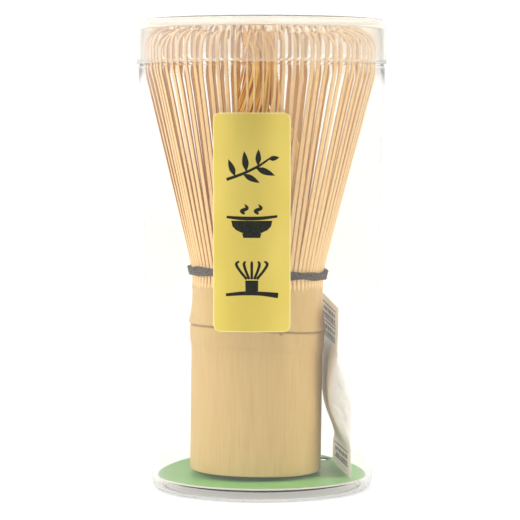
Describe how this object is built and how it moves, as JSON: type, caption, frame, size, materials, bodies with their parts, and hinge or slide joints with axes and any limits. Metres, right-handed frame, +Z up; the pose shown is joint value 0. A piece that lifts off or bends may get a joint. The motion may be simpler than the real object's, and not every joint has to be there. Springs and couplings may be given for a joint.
{
  "type": "bamboo tea whisk",
  "caption": "Bamboo tea whisk with a node-ridged handle, thread-laced hooked prongs in two rings, packed upright in a clear push-lid case with label, card and sachet.",
  "frame": {"origin": "centre of the case's underside, on the surface it stands on", "axes": "+Z up along the case, -Y to the labelled front, +X to the side where the sachet stands"},
  "size_m": [0.063, 0.063, 0.1172],
  "materials": {
    "clear_case": "clear, polished plastic",
    "clear_lid": "clear, polished plastic",
    "label_paper": "satin coated paper",
    "green_card": "smooth coated card",
    "culm": "pale bleached bamboo, satin",
    "outer_prong_bamboo": "shaved bamboo",
    "inner_prong_bamboo": "shaved bamboo, darker core",
    "lacing_thread": "twisted cotton thread",
    "sachet_paper": "matt nonwoven paper",
    "silica_gel": "translucent beads"
  },
  "bodies": {
    "case": {"case_tube": "clear_case", "case_label": "label_paper", "base_card": "green_card"},
    "sachet": {"sachet_envelope": "sachet_paper", "sachet_beads": "silica_gel"},
    "whisk": {"handle": "culm", "outer_prongs_01": "outer_prong_bamboo", "outer_prongs_02": "outer_prong_bamboo", "outer_prongs_03": "outer_prong_bamboo", "outer_prongs_04": "outer_prong_bamboo", "outer_prongs_05": "outer_prong_bamboo", "outer_prongs_06": "outer_prong_bamboo", "outer_prongs_07": "outer_prong_bamboo", "outer_prongs_08": "outer_prong_bamboo", "outer_prongs_09": "outer_prong_bamboo", "outer_prongs_10": "outer_prong_bamboo", "outer_prongs_11": "outer_prong_bamboo", "outer_prongs_12": "outer_prong_bamboo", "outer_prongs_13": "outer_prong_bamboo", "outer_prongs_14": "outer_prong_bamboo", "outer_prongs_15": "outer_prong_bamboo", "outer_prongs_16": "outer_prong_bamboo", "inner_prongs_01": "inner_prong_bamboo", "inner_prongs_02": "inner_prong_bamboo", "inner_prongs_03": "inner_prong_bamboo", "inner_prongs_04": "inner_prong_bamboo", "inner_prongs_05": "inner_prong_bamboo", "inner_prongs_06": "inner_prong_bamboo", "inner_prongs_07": "inner_prong_bamboo", "inner_prongs_08": "inner_prong_bamboo", "inner_prongs_09": "inner_prong_bamboo", "inner_prongs_10": "inner_prong_bamboo", "inner_prongs_11": "inner_prong_bamboo", "inner_prongs_12": "inner_prong_bamboo", "inner_prongs_13": "inner_prong_bamboo", "inner_prongs_14": "inner_prong_bamboo", "inner_prongs_15": "inner_prong_bamboo", "inner_prongs_16": "inner_prong_bamboo", "thread_lower_round": "lacing_thread", "thread_middle_round": "lacing_thread", "thread_upper_round": "lacing_thread"},
    "lid": {"case_lid": "clear_lid"}
  },
  "joints": [
    {"name": "sachet_lift", "type": "slide", "parent": "case", "child": "sachet", "axis": [0, 0, 1], "range_m": [0, 0.12]},
    {"name": "whisk_lift", "type": "slide", "parent": "sachet", "child": "whisk", "axis": [0, 0, 1], "range_m": [0, 0.125]},
    {"name": "lid_lift", "type": "slide", "parent": "whisk", "child": "lid", "axis": [0, 0, 1], "range_m": [0, 0.04]}
  ]
}
